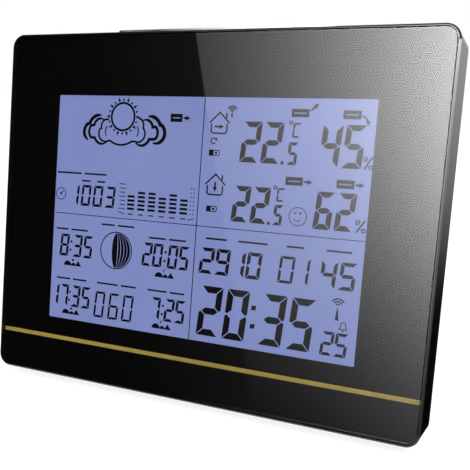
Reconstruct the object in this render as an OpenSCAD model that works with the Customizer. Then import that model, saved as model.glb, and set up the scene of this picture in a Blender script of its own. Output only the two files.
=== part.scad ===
// Desk weather station: a flat case with a flush display lens, a snooze bar on
// its top edge, keys and a battery bay behind, and a leg that folds out.
// The case is drawn upright with its front face at y = 0 and its bottom at
// z = 0, and leans back as a whole. The origin is the middle of the base foot.

/* [Case] */
// Width of the case
case_w = 191; // [180:1:230]
// Height of the case
case_h = 147; // [138:1:176]
// Depth of the case at its side walls
case_d = 20; // [19:0.5:24]
// Corner radius of the case outline
corner_r = 5.5; // [4.5:0.5:9]
// Thickness of the case walls
wall = 2; // [1.8:0.1:2.4]
// Angle that the case leans back
lean = 10; // [6:1:14]
// Depth of the rear cover's edge
cover_edge = 1.5; // [1.2:0.1:1.8]

/* [Lens] */
// Thickness of the lens
lens_t = 2; // [1.6:0.2:2.4]
// Width of the case rim around the lens
rim_w = 0.9; // [0.8:0.1:1.6]
// Gap between the rim and the lens
lens_gap = 0.45; // [0.2:0.05:0.5]
// Height of the gold stripe's middle above the case bottom
stripe_z = 16.6; // [12:0.2:20]
// Height of the gold stripe
stripe_h = 1.7; // [1:0.1:2.5]

/* [Display] */
// Width of the clear window
window_w = 139; // [120:1:142]
// How far the window's middle is to the right of the case's middle
window_x = -0.4; // [-1:0.1:1]
// Height of the clear window
window_h = 96.4; // [84:0.4:100]
// Margin of the display glass around the window
glass_margin = 3.5; // [3:0.5:4]
// Thickness of each display glass
glass_t = 1.1; // [0.7:0.1:1.3]
// Thickness of the light guide
guide_t = 3; // [2:0.2:3.2]
// Number of backlight lamps
lamp_count = 6; // [3:1:8]

/* [Snooze bar] */
// Length of the snooze bar
snooze_w = 96; // [70:1:110]
// Depth of the snooze bar, front to back
snooze_d = 6; // [5:0.5:6.5]
// Height of the snooze bar above the case top
snooze_rise = 3.5; // [2:0.5:5]
// Travel of the snooze bar
snooze_travel = 0.8; // [0.4:0.1:1]

/* [Keys] */
// Length of a key cap
key_w = 11; // [8:0.5:12]
// Height of a key cap
key_h = 6.5; // [5:0.5:7]
// Height of a key cap above the rear cover
key_rise = 1; // [0.5:0.1:1.5]
// Travel of a key
key_travel = 0.8; // [0.4:0.1:0.9]
// Distance between keys
key_pitch = 18; // [12:1:20]
// Distance of the key columns from the middle
key_x = 77; // [74:1:78]

/* [Rear bulge] */
// Width of the rear bulge
bulge_w = 124; // [110:1:130]
// Height of the rear bulge
bulge_h = 114; // [108:1:118]
// Height of the bulge's lower edge
bulge_z = 8; // [7:0.5:10]
// Depth of the bulge behind the case
bulge_d = 11.5; // [11:0.5:14]

/* [Batteries] */
// Diameter of a battery cell
cell_dia = 14.5; // [14.1:0.1:14.5]
// Length of a battery cell with its tip
cell_l = 50.5; // [49.5:0.5:50.5]
// Number of battery cells
cell_count = 3; // [2:1:3]

/* [Stand] */
// Width of the folding leg
leg_w = 61.4; // [50:0.2:64]
// Length of the folding leg, hinge to tip
leg_l = 46; // [40:1:48]
// Thickness of the folding leg
leg_t = 4; // [3:0.5:4]
// Diameter of the leg's hinge pin
pin_dia = 2.4; // [2:0.1:2.6]

/* [Hidden] */
$fn = 48;
eps = 0.01;
gap = 0.3;             // running gap between pieces that move past each other
seat = 0.1;            // gap between pieces that are laid on each other

mid_z = case_h / 2;
seam_y = case_d - cover_edge;
lens_inset = rim_w + lens_gap;
edge_chamfer = 0.7;

// Depths of the layers behind the lens
print_t = 0.2;
stripe_t = 0.1;
print_y = lens_t + stripe_t;
adhesive_t = 0.5;
panel_y = print_y + print_t + adhesive_t;       // front of the bezel's inner panel
panel_t = 2;
polariser_t = 0.2;
stack_y = panel_y + seat;                       // front of the display stack
front_glass_y = stack_y + polariser_t;
rear_glass_y = front_glass_y + glass_t;
rear_polariser_y = rear_glass_y + glass_t;
sheet_t = 0.2;
diffuser_y = rear_polariser_y + polariser_t + seat;
guide_y = diffuser_y + sheet_t;
reflector_y = guide_y + guide_t;
frame_y = panel_y + panel_t;
frame_back_y = reflector_y + sheet_t + seat;
board_y = frame_back_y + 0.4;
board_t = 1.6;
board_back = board_y + board_t;

glass_w = window_w + 2 * glass_margin;
glass_h = window_h + 2 * glass_margin;
ledge_h = 4;                                    // contact ledges of the front glass
frame_wall = 2.6;
frame_w = glass_w + 2 * frame_wall;
frame_h = glass_h + 2 * (ledge_h + frame_wall);
lamp_room = 4;                                  // space for the lamps beside the guide
board_w = case_w - 22;
board_h = case_h - 34;

// Fastening points, given for the right half
case_screw_x = case_w / 2 - 10;
case_screw_z = [10, case_h - 10];
board_screw_x = board_w / 2 - 4;
board_screw_z = [mid_z - board_h / 2 + 4, mid_z + board_h / 2 - 4];
boss_r = 3.5;
standoff_r = 3;
screw_r = 1.15;
screw_hole_r = 1.2;
head_r = 2.6;

// Snooze bar
snooze_y = case_d - 8.5;                        // front face of the bar
snooze_mid_y = snooze_y + snooze_d / 2;
flange_t = 1.4;
flange_top = case_h - wall - gap;
switch_w = 6;
switch_t = 3.5;
well_r = 1.9;
stem_r = 1.6;
stem_entry = 1;                                 // how far a stem sits in its well
well_spare = 0.2;                               // room left under a fully pressed stem
snooze_switch_x = snooze_w / 2 - 18;
snooze_bevel = 0.5;
flange_out = 2;                                 // how far the flange runs past the bar
snooze_board_top = case_h - wall - 8.5;
snooze_board_t = 1.2;
snooze_board_w = snooze_w - 16;
snooze_board_d = 8;
peg_x = snooze_board_w / 2 - 3;                 // locating pegs of the snooze board
peg_r = 0.9;
shelf_z = snooze_board_top - snooze_board_t - 1;

// Keys
key_z = [mid_z - 3, mid_z - 3 + key_pitch, mid_z - 3 + 2 * key_pitch];
key_flange = 1;
key_flange_t = 1.6;
slide_z = key_z[0] - 24;
slide_travel = 2;
socket_z = key_z[0] - 24;
socket_r = 2.85;

// Bulge, battery bay and leg recess
bulge_r = 8;
bulge_back = case_d + bulge_d;
bulge_mid_z = bulge_z + bulge_h / 2;
cell_pitch = cell_dia + 0.7;
contact_room = 6.5;                             // room for the plate and spring of a cell
bay_w = cell_l + contact_room;
bay_h = cell_count * cell_pitch + 0.4;
bay_wall = 2;
door_t = 1.6;
door_y = bulge_back - door_t;
bay_top = bulge_z + bulge_h - 6;
bay_z = bay_top - bay_h;
bay_mid_z = (bay_top + bay_z) / 2;
cell_y = door_y - 0.4 - cell_dia / 2;
bay_floor_y = cell_y - cell_dia / 2 - 0.25;
door_overlap = 1.6;
door_swing_gap = 0.2;                           // more room below the door, for its swing
lug_wall = 2.5;                                 // wall behind the hinge lugs
door_w = bay_w + 2 * door_overlap;
door_h = bay_h + 2 * door_overlap;
door_pivot_z = bay_z - door_overlap - 1.3;
door_pivot_y = bulge_back - 0.9;
door_barrel_r = 0.9;
door_pin_r = 0.5;
door_pin_l = 1;
door_lug_x = 20;
door_lug_w = 7;

// Leg
leg_hinge_z = bulge_z + 5;
barrel_r = 2.6;
leg_hinge_y = bulge_back - barrel_r;
recess_floor_y = leg_hinge_y - barrel_r - gap;
recess_w = leg_w + 2 * gap;
recess_top = leg_hinge_z + leg_l + 1.5;
recess_wall = 2.2;
pin_r = pin_dia / 2;
pin_fit = 0.05;
pad_reach = leg_t / 2 + 1;                      // from the leg's middle to the desk

// Foot and lean
foot_d = 5;
foot_y = case_d - 5;                            // middle of the foot strip
foot_w = case_w - 50;
foot_pocket = 1;
foot_clear = 0.8;                               // desk to the case's lowest edge
lift = case_d * sin(lean) + foot_clear;
hinge_height = leg_hinge_z * cos(lean) - leg_hinge_y * sin(lean) + lift;
leg_drop = asin((hinge_height - pad_reach) / leg_l);
leg_open = 90 + leg_drop - lean;

// ---------- placing and outlines ----------

// Leans the upright case back and sets the base foot on the origin
module leaned() {
    translate([0, -foot_y * cos(lean), lift]) rotate([-lean, 0, 0]) children();
}

// Extrudes an outline in x and z from depth y0 to depth y1
module slab(y0, y1) {
    translate([0, y1, 0]) rotate([90, 0, 0]) linear_extrude(y1 - y0) children();
}

// Rectangle with round corners
module round_rect(w, h, r) {
    square([w - 2 * r, h], center = true);
    square([w, h - 2 * r], center = true);
    for (sx = [-1, 1], sz = [-1, 1])
        translate([sx * (w / 2 - r), sz * (h / 2 - r)]) circle(r);
}

// Stadium with its length along x
module stadium(w, h) {
    square([w - h, h], center = true);
    for (s = [-1, 1]) translate([s * (w - h) / 2, 0]) circle(h / 2);
}

// Outline centred on a point of the case's front
module at(x, z) { translate([x, z]) children(); }

// Round rod along y
module rod(x, z, y0, y1, r) { slab(y0, y1) at(x, z) circle(r); }

// Box given by its middle in x and z and by its depths
module block(x, z, w, h, y0, y1) { slab(y0, y1) at(x, z) square([w, h], center = true); }

// Carries a section round a rectangle with round corners. The section's first
// coordinate runs outwards from the corner's centre, its second is the depth.
module rim_sweep(w, h, r) {
    run = [w - 2 * r, h - 2 * r];
    for (q = [0:3]) rotate([0, 90 * q, 0]) {
        across = q % 2 == 0 ? run[0] : run[1];
        along = q % 2 == 0 ? run[1] : run[0];
        translate([across / 2, 0, -along / 2]) linear_extrude(along) children();
        translate([across / 2, 0, -along / 2]) rotate([-90, 0, 0]) rotate_extrude(angle = 90) children();
    }
}

// Quarter round between a side and a back face
function quarter(u, v, r, n = 6) =
    [for (i = [0:n]) [u - r + r * cos(90 * i / n), v - r + r * sin(90 * i / n)]];

// ---------- lens and bezel ----------

lens_w = case_w - 2 * lens_inset;
lens_h = case_h - 2 * lens_inset;
lens_r = corner_r - lens_inset;

module lens_outline() { at(0, mid_z) round_rect(lens_w, lens_h, lens_r); }

module window_outline() { at(window_x, mid_z) round_rect(window_w, window_h, 0.6); }

module front_lens() color([0.1, 0.1, 0.12, 0.35]) leaned() slab(0, lens_t) lens_outline();

module lens_print() color([0.02, 0.02, 0.02]) leaned() slab(print_y, print_y + print_t) difference() {
    lens_outline();
    window_outline();
}

module gold_stripe() color([0.72, 0.6, 0.3]) leaned()
    block(0, stripe_z, lens_w, stripe_h, lens_t, lens_t + stripe_t);

module lens_adhesive() color([0.15, 0.15, 0.15]) leaned()
    slab(print_y + print_t, panel_y) difference() {
        at(0, mid_z) round_rect(lens_w - 1, lens_h - 1, lens_r - 0.5);
        at(0, mid_z) round_rect(lens_w - 11, lens_h - 11, 2);
    }

bezel_section = [[corner_r - rim_w, 0], [corner_r - edge_chamfer, 0], [corner_r, edge_chamfer],
    [corner_r, seam_y], [corner_r - wall, seam_y], [corner_r - wall, panel_y],
    [corner_r - rim_w, panel_y]];

module front_bezel() color([0.05, 0.05, 0.055]) leaned() difference() {
    union() {
        translate([0, 0, mid_z]) rim_sweep(case_w, case_h, corner_r) polygon(bezel_section);
        slab(panel_y, panel_y + panel_t) difference() {
            at(0, mid_z) round_rect(case_w - wall, case_h - wall, corner_r - wall / 2);
            at(0, mid_z) square([glass_w + 2 * gap, glass_h + 2 * (ledge_h + gap)], center = true);
        }
        for (sx = [-1, 1]) {
            for (z = case_screw_z) rod(sx * case_screw_x, z, panel_y, seam_y - 1.2, boss_r);
            for (z = board_screw_z) rod(sx * board_screw_x, z, panel_y, board_y, standoff_r);
            // shelf for the snooze board, with a locating peg
            block(sx * peg_x, shelf_z, 4, 2, panel_y, snooze_mid_y + snooze_board_d / 2);
            translate([sx * peg_x, snooze_mid_y, shelf_z]) cylinder(h = snooze_board_t + 1.6, r = peg_r);
            // cradle for the aerial rod
            block(sx * rod_cradle_x, (wall + rod_z) / 2 - 1, 3, rod_z - wall + 2, panel_y, rod_y + 3);
        }
    }
    for (sx = [-1, 1]) {
        for (z = case_screw_z) rod(sx * case_screw_x, z, panel_y + panel_t, case_d, screw_hole_r);
        for (z = board_screw_z) rod(sx * board_screw_x, z, panel_y + panel_t - 1, case_d, screw_hole_r);
    }
    translate([0, rod_y, rod_z]) rotate([0, 90, 0]) cylinder(h = rod_l, r = rod_r + 0.1, center = true);
    // slot for the snooze bar
    translate([-snooze_w / 2 - gap, snooze_y - gap, case_h - wall - 1])
        cube([snooze_w + 2 * gap, snooze_d + 2 * gap, wall + 2]);
    // pocket for the foot
    translate([-foot_w / 2 - seat, foot_y - foot_d / 2 - seat, -1])
        cube([foot_w + 2 * seat, foot_d + 2 * seat, foot_pocket + seat + 1]);
}

// ---------- display ----------

module front_polariser() color([0.5, 0.53, 0.8]) leaned()
    block(0, mid_z, glass_w - 1, glass_h - 1, stack_y, front_glass_y);

module front_glass() color([0.6, 0.7, 0.75, 0.5]) leaned()
    block(0, mid_z, glass_w, glass_h + 2 * ledge_h, front_glass_y, rear_glass_y);

module rear_glass() color([0.55, 0.65, 0.7, 0.5]) leaned()
    block(0, mid_z, glass_w, glass_h, rear_glass_y, rear_polariser_y);

module rear_polariser() color([0.45, 0.48, 0.7]) leaned()
    block(0, mid_z, glass_w - 1, glass_h - 1, rear_polariser_y, rear_polariser_y + polariser_t);

module display_frame() color([0.92, 0.92, 0.9]) leaned() difference() {
    block(0, mid_z, frame_w, frame_h, frame_y, frame_back_y);
    block(0, mid_z, glass_w + 2 * seat, glass_h + 2 * seat, frame_y - 1, frame_back_y + 1);
    // troughs for the ledges of the glass and its contact rubbers
    block(0, mid_z, glass_w + 2 * seat, glass_h + 2 * (ledge_h + seat), frame_y - 1, frame_back_y + 1);
}

module diffuser_sheet() color([0.95, 0.95, 0.98]) leaned()
    block(0, mid_z, glass_w - 1, glass_h - 1, diffuser_y, guide_y);

module light_guide() color([0.8, 0.85, 0.95, 0.6]) leaned()
    block(-lamp_room / 2, mid_z, glass_w - lamp_room, glass_h - seat, guide_y, reflector_y);

module reflector_sheet() color([0.97, 0.97, 0.97]) leaned()
    block(0, mid_z, glass_w - 1, glass_h - 1, reflector_y, reflector_y + sheet_t);

lamp_strip_x = glass_w / 2 - 0.5;
module lamp_strip() color([0.85, 0.6, 0.3]) leaned()
    block(lamp_strip_x, mid_z, 0.4, glass_h - 4, guide_y, reflector_y);

module backlight_lamps() color([0.95, 0.95, 0.85]) leaned() {
    pitch = (glass_h - 4) / lamp_count;
    lamp_w = lamp_room - 1.2;
    for (i = [0:lamp_count - 1])
        block(lamp_strip_x - 0.2 - lamp_w / 2, mid_z + (i - (lamp_count - 1) / 2) * pitch,
            lamp_w, 3.5, guide_y + 0.3, reflector_y - 0.3);
}

module contact_rubbers() color([0.75, 0.35, 0.45]) leaned()
    for (s = [-1, 1])
        block(0, mid_z + s * (glass_h + ledge_h) / 2, glass_w - 12, 2.2, rear_glass_y, board_y);

// ---------- boards and what they carry ----------

module main_board() color([0.05, 0.35, 0.15]) leaned() difference() {
    block(0, mid_z, board_w, board_h, board_y, board_back);
    for (sx = [-1, 1], z = board_screw_z)
        rod(sx * board_screw_x, z, board_y - 1, board_back + 1, screw_r + 0.3);
}

module chip_domes() color([0.08, 0.08, 0.08]) leaned()
    for (p = [[-46, mid_z + 10, 8], [46, mid_z + 20, 6.5]])
        translate([p[0], board_back, p[1]]) rotate([-90, 0, 0]) rotate_extrude()
            polygon([[0, 0], [p[2], 0], [p[2] * 0.85, 0.8], [p[2] * 0.5, 1.5], [0, 1.7]]);

crystal_r = 1.5;
module watch_crystal() color([0.8, 0.8, 0.82]) leaned()
    translate([-46, board_back + crystal_r, mid_z - 8]) rotate([0, 90, 0])
        cylinder(h = 8, r = crystal_r, center = true);

module supply_capacitor() color([0.15, 0.18, 0.3]) leaned()
    rod(55, mid_z - 24, board_back, board_back + 5, 3.2);

module pressure_sensor() color([0.85, 0.85, 0.86]) leaned() difference() {
    rod(52, mid_z - 40, board_back, board_back + 3, 3.2);
    rod(52, mid_z - 40, board_back + 2.4, board_back + 4, 1.2);
}

sensor_x = board_w / 2 - 15;
sensor_z = 28;
module humidity_sensor() color([0.93, 0.93, 0.95]) leaned()
    block(sensor_x, sensor_z, 7, 6, board_back, board_back + 2.2);

radio_x = -48;
radio_z = mid_z - 38;
module radio_pins() color([0.8, 0.7, 0.35]) leaned()
    for (i = [-2:2]) block(radio_x + i * 2.54, radio_z - 5, 0.64, 0.64, board_back, board_back + 2.5);

module radio_board() color([0.1, 0.25, 0.45]) leaned()
    block(radio_x, radio_z, 18, 14, board_back + 2.5, board_back + 3.5);

coil_turns = 5;
module radio_coil() color([0.75, 0.42, 0.2]) leaned()
    translate([radio_x, board_back + 6, radio_z + 2]) rotate([0, 90, 0]) rotate_extrude()
        polygon(concat([[1.5, 0], [1.5, coil_turns * 2]],
            [for (i = [coil_turns * 2:-1:0]) [i % 2 == 0 ? 1.9 : 2.5, i]]));

// Aerial rod for the radio-set clock, in the chamber under the display
rod_r = 4;
rod_l = 60;
rod_y = panel_y + panel_t + rod_r + 0.5;
rod_z = wall + rod_r + 3;
rod_cradle_x = rod_l / 2 - 4;
module ferrite_rod() color([0.2, 0.2, 0.22]) leaned()
    translate([0, rod_y, rod_z]) rotate([0, 90, 0]) cylinder(h = rod_l, r = rod_r, center = true);

module ferrite_winding() color([0.7, 0.4, 0.15]) leaned()
    translate([0, rod_y, rod_z]) rotate([0, 90, 0]) difference() {
        cylinder(h = 16, r = rod_r + 0.45, center = true);
        cylinder(h = 18, r = rod_r, center = true);
    }

// A pan-head screw along y, its head's outer face at y_head
module screw(x, z, y_tip, y_head, head_h, r_head) difference() {
    union() {
        rod(x, z, y_tip, y_head - head_h + eps, screw_r);
        rod(x, z, y_head - head_h, y_head, r_head);
    }
    for (a = [0, 90]) translate([x, y_head, z]) rotate([0, a, 0]) cube([0.7, 1.4, 2.6], center = true);
}

module board_screws() color([0.75, 0.75, 0.78]) leaned()
    for (sx = [-1, 1], z = board_screw_z)
        screw(sx * board_screw_x, z, panel_y + panel_t, board_back + 1.3, 1.3, 2.3);

// Push switch with a well that takes the stem of its key and lets it travel
module push_switch(travel) difference() {
    well_depth = stem_entry + travel + well_spare;
    translate([-switch_w / 2, -switch_w / 2, 0]) cube([switch_w, switch_w, switch_t]);
    translate([0, 0, switch_t - well_depth]) cylinder(h = well_depth + 1, r = well_r);
}

module key_switches() color([0.12, 0.12, 0.12]) leaned()
    for (sx = [-1, 1], z = key_z)
        translate([sx * key_x, board_back, z]) rotate([-90, 0, 0]) push_switch(key_travel);

// ---------- snooze bar ----------

module snooze_bar() color([0.8, 0.81, 0.83]) leaned() union() {
    bar_top = case_h + snooze_rise;
    stem_end = snooze_board_top + switch_t - stem_entry;
    slab(snooze_y, snooze_y + snooze_d) polygon([
        [-snooze_w / 2, flange_top - eps], [snooze_w / 2, flange_top - eps],
        [snooze_w / 2, bar_top - snooze_bevel], [snooze_w / 2 - snooze_bevel, bar_top],
        [-snooze_w / 2 + snooze_bevel, bar_top], [-snooze_w / 2, bar_top - snooze_bevel]]);
    translate([-snooze_w / 2 - flange_out, snooze_y - 1, flange_top - flange_t])
        cube([snooze_w + 2 * flange_out, seam_y - snooze_y + 1 - gap, flange_t]);
    for (sx = [-1, 1]) translate([sx * snooze_switch_x, snooze_mid_y, stem_end])
        cylinder(h = flange_top - flange_t - stem_end + eps, r = stem_r);
}

module snooze_board() color([0.05, 0.35, 0.15]) leaned() difference() {
    translate([-snooze_board_w / 2, snooze_mid_y - snooze_board_d / 2, snooze_board_top - snooze_board_t])
        cube([snooze_board_w, snooze_board_d, snooze_board_t]);
    for (sx = [-1, 1]) translate([sx * peg_x, snooze_mid_y, shelf_z])
        cylinder(h = snooze_board_t + 2, r = peg_r + seat);
}

module snooze_switches() color([0.12, 0.12, 0.12]) leaned()
    for (sx = [-1, 1])
        translate([sx * snooze_switch_x, snooze_mid_y, snooze_board_top]) push_switch(snooze_travel);

module snooze_ribbon() color([0.85, 0.85, 0.8]) leaned() {
    ribbon_low = mid_z + board_h / 2 - 6;
    ribbon_high = snooze_board_top - snooze_board_t;
    block(0, (ribbon_low + ribbon_high) / 2, 10, ribbon_high - ribbon_low, board_back, board_back + 0.5);
}

// ---------- keys, slide switch, socket and buzzer ----------

module key_cap(x, z) color([0.1, 0.1, 0.11]) leaned() union() {
    flange_back = seam_y - gap;
    flange_front = flange_back - key_flange_t;
    slab(flange_back - eps, case_d + key_rise) at(x, z) stadium(key_w, key_h);
    slab(flange_front, flange_back) at(x, z) stadium(key_w + 2 * key_flange, key_h + 2 * key_flange);
    rod(x, z, board_back + switch_t - stem_entry, flange_front + eps, stem_r);
}

module key_set() key_cap(-key_x, key_z[2]);
module key_plus() key_cap(-key_x, key_z[1]);
module key_minus() key_cap(-key_x, key_z[0]);
module key_channel() key_cap(key_x, key_z[2]);
module key_history() key_cap(key_x, key_z[1]);
module key_alarm() key_cap(key_x, key_z[0]);

slide_body_t = 3.6;
slide_floor = 1.5;
slide_knob_w = 2.4;
slide_knob_h = 3.6;
slide_slot_h = slide_knob_h + slide_travel + 2 * gap;
module slide_switch() color([0.7, 0.7, 0.72]) leaned() difference() {
    block(-key_x, slide_z, 5, 11, board_back, board_back + slide_body_t);
    block(-key_x, slide_z, slide_knob_w + 2 * gap, slide_slot_h, board_back + slide_floor,
        board_back + slide_body_t + 1);
}

module slide_knob() color([0.1, 0.1, 0.11]) leaned() difference() {
    knob_z = slide_z - slide_travel / 2;
    block(-key_x, knob_z, slide_knob_w, slide_knob_h, board_back + slide_floor + gap, case_d + 0.6);
    for (s = [-1, 0, 1]) block(-key_x, knob_z + s * 1.1, slide_knob_w + 1, 0.4, case_d + 0.2, case_d + 1);
}

socket_back = seam_y - seat;
module power_socket() color([0.1, 0.1, 0.1]) leaned() difference() {
    block(key_x, socket_z, 9, 9.5, board_back, socket_back);
    rod(key_x, socket_z, board_back + 1.2, case_d, socket_r);
}

module power_socket_pin() color([0.85, 0.85, 0.85]) leaned()
    rod(key_x, socket_z, board_back + 1.2, socket_back - 0.8, 1);

buzzer_z = slide_z - 22;
buzzer_r = 8.5;
sound_hole_r = 0.8;
module buzzer_disc() color([0.8, 0.7, 0.4]) leaned()
    rod(-key_x, buzzer_z, seam_y - 1.3, seam_y - 0.9, buzzer_r);

module buzzer_ceramic() color([0.9, 0.88, 0.8]) leaned()
    rod(-key_x, buzzer_z, seam_y - 1.5, seam_y - 1.3, buzzer_r - 2.5);

// ---------- rear cover ----------

// The rims carry the round edges, and the flat plates inside them overlap them
rim_band = 3;
plate_inset = 2.5;
cover_section = concat([[corner_r - rim_band, seam_y], [corner_r, seam_y]],
    quarter(corner_r, case_d, 1.1), [[corner_r - rim_band, case_d]]);
bulge_section = concat([[bulge_r - wall, seam_y], [bulge_r, seam_y]], quarter(bulge_r, bulge_back, 1.8),
    [[bulge_r - rim_band, bulge_back], [bulge_r - rim_band, bulge_back - wall],
    [bulge_r - wall, bulge_back - wall]]);
keyhole_r = 4;
keyhole_x = 62;
keyhole_z = case_h - 14;
keyhole_slot_r = 2;
keyhole_slot_l = 6;
lip_l = 1.6;
lip_t = 1.2;

module cover_shell() {
    translate([0, 0, mid_z]) rim_sweep(case_w, case_h, corner_r) polygon(cover_section);
    slab(seam_y, case_d) difference() {
        at(0, mid_z) round_rect(case_w - 2 * plate_inset, case_h - 2 * plate_inset, corner_r - plate_inset);
        at(0, bulge_mid_z) round_rect(bulge_w - wall, bulge_h - wall, bulge_r - wall / 2);
    }
    translate([0, 0, bulge_mid_z]) rim_sweep(bulge_w, bulge_h, bulge_r) polygon(bulge_section);
    slab(bulge_back - wall, bulge_back) at(0, bulge_mid_z)
        round_rect(bulge_w - 2 * plate_inset, bulge_h - 2 * plate_inset, bulge_r - plate_inset);
}

// Lip that sits inside the bezel's walls, left out under the snooze bar
module cover_lip() slab(seam_y - lip_l, seam_y + 0.5) difference() {
    outer = wall + seat;
    inner = outer + lip_t;
    at(0, mid_z) round_rect(case_w - 2 * outer, case_h - 2 * outer, corner_r - outer);
    at(0, mid_z) round_rect(case_w - 2 * inner, case_h - 2 * inner, corner_r - inner);
    at(0, case_h) square([snooze_w + 8, 12], center = true);
}

module door_cutout() {
    block(0, bay_mid_z - door_swing_gap / 2, door_w + 2 * gap, door_h + 2 * gap + door_swing_gap,
        door_y - gap, bulge_back + 1);
    for (sx = [-1, 1]) {
        block(sx * door_lug_x, door_pivot_z + 0.4, door_lug_w + 2 * gap, 3.4, door_y - gap, bulge_back + 1);
        translate([sx * door_lug_x, door_pivot_y, door_pivot_z]) rotate([0, 90, 0])
            cylinder(h = door_lug_w + 2 * door_pin_l + 4 * gap, r = door_pin_r + 0.06, center = true);
    }
}

module rear_cover() color([0.06, 0.06, 0.065]) leaned() difference() {
    union() {
        cover_shell();
        cover_lip();
        block(0, bay_mid_z - lug_wall / 2, bay_w + 2 * bay_wall, bay_h + 2 * bay_wall + lug_wall,
            bay_floor_y - 1.5, door_y);
        block(0, (leg_hinge_z + recess_top) / 2, recess_w + 2 * recess_wall,
            recess_top - leg_hinge_z + 2 * recess_wall, recess_floor_y - 2, bulge_back - 1);
        for (sx = [-1, 1], z = case_screw_z)
            rod(sx * case_screw_x, z, seam_y - 1.1, case_d - 0.3, boss_r + 0.5);
        rod(-key_x, buzzer_z, seam_y - 2, seam_y + 0.5, buzzer_r + 1.5);
    }
    // battery bay, door and hinge lugs
    block(0, bay_mid_z, bay_w, bay_h, bay_floor_y, bulge_back + 1);
    door_cutout();
    // leg recess, open below and behind
    block(0, (bulge_z - 1 + recess_top) / 2, recess_w, recess_top - bulge_z + 1,
        recess_floor_y, bulge_back + 1);
    translate([0, leg_hinge_y, leg_hinge_z]) rotate([0, 90, 0])
        cylinder(h = recess_w + 2 * recess_wall - 1, r = pin_r + pin_fit, center = true);
    // screws
    for (sx = [-1, 1], z = case_screw_z) {
        rod(sx * case_screw_x, z, seam_y - 2, case_d + 1, screw_r + 0.3);
        rod(sx * case_screw_x, z, seam_y - 0.1, case_d + 1, head_r + gap);
    }
    // wall-hanging keyholes
    for (sx = [-1, 1]) {
        rod(sx * keyhole_x, keyhole_z, seam_y - 1, case_d + 1, keyhole_r);
        rod(sx * keyhole_x, keyhole_z + keyhole_slot_l, seam_y - 1, case_d + 1, keyhole_slot_r);
        block(sx * keyhole_x, keyhole_z + keyhole_slot_l / 2, 2 * keyhole_slot_r, keyhole_slot_l,
            seam_y - 1, case_d + 1);
    }
    // keys, slide knob and power socket
    for (sx = [-1, 1], z = key_z)
        slab(seam_y - 1, case_d + 1) at(sx * key_x, z) stadium(key_w + 2 * gap, key_h + 2 * gap);
    block(-key_x, slide_z, slide_knob_w + 2 * gap, slide_slot_h, seam_y - 1, case_d + 1);
    rod(key_x, socket_z, seam_y - 1, case_d + 1, socket_r + 0.7);
    // buzzer seat and sound holes
    rod(-key_x, buzzer_z, seam_y - 3, seam_y - 0.8, buzzer_r + seat);
    rod(-key_x, buzzer_z, seam_y - 1, seam_y, buzzer_r - 1);
    for (a = [0:60:300])
        rod(-key_x + 3.5 * cos(a), buzzer_z + 3.5 * sin(a), seam_y - 1, case_d + 1, sound_hole_r);
    rod(-key_x, buzzer_z, seam_y - 1, case_d + 1, sound_hole_r);
    // air slots over the humidity sensor
    for (i = [-2:2]) slab(seam_y - 1, case_d + 1) at(sensor_x + 4, sensor_z + i * 3) stadium(16, 1.4);
}

// ---------- batteries ----------

function cell_z(i) = bay_mid_z + (i - (cell_count - 1) / 2) * cell_pitch;
function cell_side(i) = i % 2 == 0 ? 1 : -1;        // which way the tip points
plate_t = 0.4;
spring_l = contact_room - 1 - plate_t;

module batteries() color([0.2, 0.22, 0.25]) leaned() for (i = [0:cell_count - 1]) {
    tip_x = bay_w / 2 - plate_t - 0.5;
    translate([cell_side(i) * tip_x, cell_y, cell_z(i)]) rotate([0, -90 * cell_side(i), 0]) rotate_extrude()
        polygon([[0, 0], [2.6, 0], [2.6, 1.2], [6.4, 1.2], [cell_dia / 2, 1.8],
            [cell_dia / 2, cell_l - 0.6], [6.6, cell_l], [0, cell_l]]);
}

module battery_plates() color([0.82, 0.8, 0.75]) leaned() for (i = [0:cell_count - 1], s = [-1, 1])
    translate([s * (bay_w / 2 - plate_t / 2), cell_y, cell_z(i)]) cube([plate_t, 11, 11], center = true);

// Coil spring drawn as one ribbed sleeve
module battery_springs() color([0.85, 0.85, 0.87]) leaned() for (i = [0:cell_count - 1]) {
    turns = 4;
    step = (spring_l - 0.2) / (2 * turns);
    translate([-cell_side(i) * (bay_w / 2 - plate_t), cell_y, cell_z(i)]) rotate([0, 90 * cell_side(i), 0])
        rotate_extrude() polygon(concat([[2.4, 0]],
            [for (k = [0:2 * turns]) [4.6 - 0.12 * k - (k % 2 == 0 ? 0.5 : 0), k * step]],
            [[2.4, 2 * turns * step]]));
}

module battery_door() color([0.06, 0.06, 0.065]) leaned() difference() {
    union() {
        block(0, bay_mid_z, door_w, door_h, door_y, bulge_back);
        for (sx = [-1, 1]) {
            neck_top = bay_mid_z - door_h / 2 + 1;
            block(sx * door_lug_x, (door_pivot_z + neck_top) / 2, door_lug_w, neck_top - door_pivot_z,
                door_pivot_y - 0.6, door_pivot_y + 0.6);
            translate([sx * door_lug_x, door_pivot_y, door_pivot_z]) rotate([0, 90, 0]) {
                cylinder(h = door_lug_w, r = door_barrel_r, center = true);
                cylinder(h = door_lug_w + 2 * door_pin_l, r = door_pin_r, center = true);
            }
        }
    }
    // thumb grooves by the top edge
    for (i = [0:3])
        block(0, bay_mid_z + door_h / 2 - 5 - i * 2, 20 - 3 * i, 0.9, bulge_back - 0.5, bulge_back + 1);
}

// ---------- stand and feet ----------

// Turns the folded leg about its hinge into its open place
module leg_place() {
    leaned() translate([0, leg_hinge_y, leg_hinge_z]) rotate([-leg_open, 0, 0]) children();
}

// Everything above the desk
module above_desk() translate([-case_w, -case_w, 0]) cube(2 * case_w);

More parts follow.
